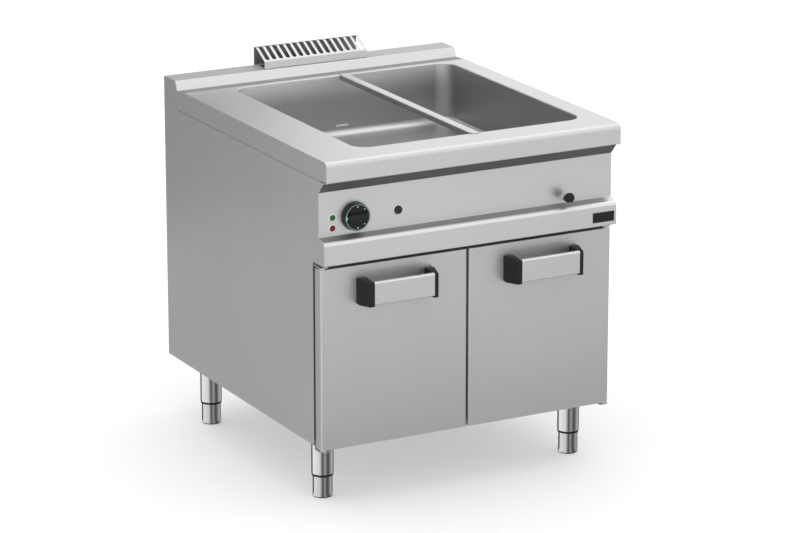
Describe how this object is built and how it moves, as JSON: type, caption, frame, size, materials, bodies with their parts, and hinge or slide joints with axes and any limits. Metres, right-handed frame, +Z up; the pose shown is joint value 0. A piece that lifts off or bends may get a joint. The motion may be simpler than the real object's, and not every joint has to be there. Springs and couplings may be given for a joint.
{
  "type": "bain-marie",
  "caption": "Free-standing bain-marie: a heated water well in a steel worktop with a pan bar, vent grille and thermostat controls over a cupboard with hinged doors on adjustable feet.",
  "frame": {"origin": "centre of the footprint at floor level", "axes": "+Z up, +Y to the back, +X to the right as seen from the front"},
  "size_m": [0.8, 0.9166, 0.937],
  "materials": {
    "satin_steel": "satin brushed stainless steel",
    "inner_steel": "plain mill-finish sheet",
    "bright_steel": "bright turned steel",
    "aluminium": "satin anodised",
    "black_plastic": "matt black moulded plastic",
    "pointer": "pale green inlay",
    "green_lens": "green lens",
    "red_lens": "red lens",
    "brass": "cast brass",
    "copper": "drawn copper tube",
    "element": "dark sheathed element",
    "insulation": "mineral fibre",
    "device": "moulded thermostat case",
    "grey_plastic": "grey moulded box",
    "cable": "rubber sheathed loom",
    "lever": "red coated lever",
    "bush": "white nylon"
  },
  "bodies": {
    "cabinet": {"worktop": "satin_steel", "well_walls": "satin_steel", "well_floor_pan": "satin_steel", "splashback": "satin_steel", "flue_grille": "satin_steel", "vent_duct": "inner_steel", "left_side_panel": "satin_steel", "right_side_panel": "satin_steel", "rear_panel": "satin_steel", "base_tray": "inner_steel", "cabinet_ceiling": "inner_steel", "front_frame": "inner_steel", "control_panel": "satin_steel", "badge_plate": "black_plastic", "thermostat_body": "device", "sensing_bulbs": "copper", "green_lamp": "green_lens", "red_lamp": "red_lens", "button_bezel": "bright_steel", "safety_thermostat": "device", "fill_valve": "brass", "water_pipes": "copper", "drain_fitting": "bright_steel", "drain_pipes": "inner_steel", "drain_valve": "brass", "heating_elements": "element", "heater_clamps": "inner_steel", "heater_tray": "inner_steel", "insulation": "insulation", "terminal_box": "grey_plastic", "cable_gland": "black_plastic", "wiring_loom": "cable", "hinge_brackets": "inner_steel", "hinge_pins": "bright_steel", "magnet_catches": "black_plastic", "leg_sleeves": "satin_steel", "screws": "bright_steel", "studs_and_nuts": "bright_steel"},
    "left_door": {"left_door_skin": "satin_steel", "left_door_liner": "inner_steel", "left_handle_bar": "aluminium", "left_handle_caps": "black_plastic", "left_hinge_bushes": "bush"},
    "right_door": {"right_door_skin": "satin_steel", "right_door_liner": "inner_steel", "right_handle_bar": "aluminium", "right_handle_caps": "black_plastic", "right_hinge_bushes": "bush"},
    "knob": {"control_knob": "black_plastic", "knob_pointer": "pointer", "thermostat_shaft": "bright_steel"},
    "button": {"reset_button": "black_plastic"},
    "tap": {"tap_handle": "black_plastic"},
    "lever": {"drain_lever": "lever"},
    "pan_bar": {"support_bar": "satin_steel"},
    "standpipe": {"overflow_pipe": "satin_steel"},
    "foot_fl": {"foot_front_left": "satin_steel"},
    "foot_fr": {"foot_front_right": "satin_steel"},
    "foot_rl": {"foot_rear_left": "satin_steel"},
    "foot_rr": {"foot_rear_right": "satin_steel"}
  },
  "joints": [
    {"name": "left_door_hinge", "type": "hinge", "parent": "cabinet", "child": "left_door", "pos_m": [-0.389, -0.3963, 0.375], "axis": [0, 0, -1], "range_deg": [0, 110]},
    {"name": "right_door_hinge", "type": "hinge", "parent": "cabinet", "child": "right_door", "pos_m": [0.389, -0.3963, 0.375], "axis": [0, 0, 1], "range_deg": [0, 110]},
    {"name": "knob_turn", "type": "hinge", "parent": "cabinet", "child": "knob", "pos_m": [-0.3045, -0.401, 0.7215], "axis": [0, 1, 0], "range_deg": [0, 270]},
    {"name": "button_press", "type": "slide", "parent": "cabinet", "child": "button", "axis": [0, 1, 0], "range_m": [0, 0.003], "stiffness_N_per_m": 300},
    {"name": "tap_turn", "type": "hinge", "parent": "cabinet", "child": "tap", "pos_m": [0.2643, -0.401, 0.6915], "axis": [0, 1, 0], "range_deg": [0, 90]},
    {"name": "lever_turn", "type": "hinge", "parent": "cabinet", "child": "lever", "pos_m": [-0.2, -0.3182, 0.5755], "axis": [0, 1, 0], "range_deg": [0, 90]},
    {"name": "pan_bar_lift", "type": "slide", "parent": "cabinet", "child": "pan_bar", "axis": [0, 0, 1], "range_m": [0, 0.15]},
    {"name": "standpipe_lift", "type": "slide", "parent": "cabinet", "child": "standpipe", "axis": [0, 0, 1], "range_m": [0, 0.15]},
    {"name": "front_left_foot_adjust", "type": "slide", "parent": "cabinet", "child": "foot_fl", "axis": [0, 0, -1], "range_m": [0, 0.04]},
    {"name": "front_right_foot_adjust", "type": "slide", "parent": "cabinet", "child": "foot_fr", "axis": [0, 0, -1], "range_m": [0, 0.04]},
    {"name": "rear_left_foot_adjust", "type": "slide", "parent": "cabinet", "child": "foot_rl", "axis": [0, 0, -1], "range_m": [0, 0.04]},
    {"name": "rear_right_foot_adjust", "type": "slide", "parent": "cabinet", "child": "foot_rr", "axis": [0, 0, -1], "range_m": [0, 0.04]}
  ]
}
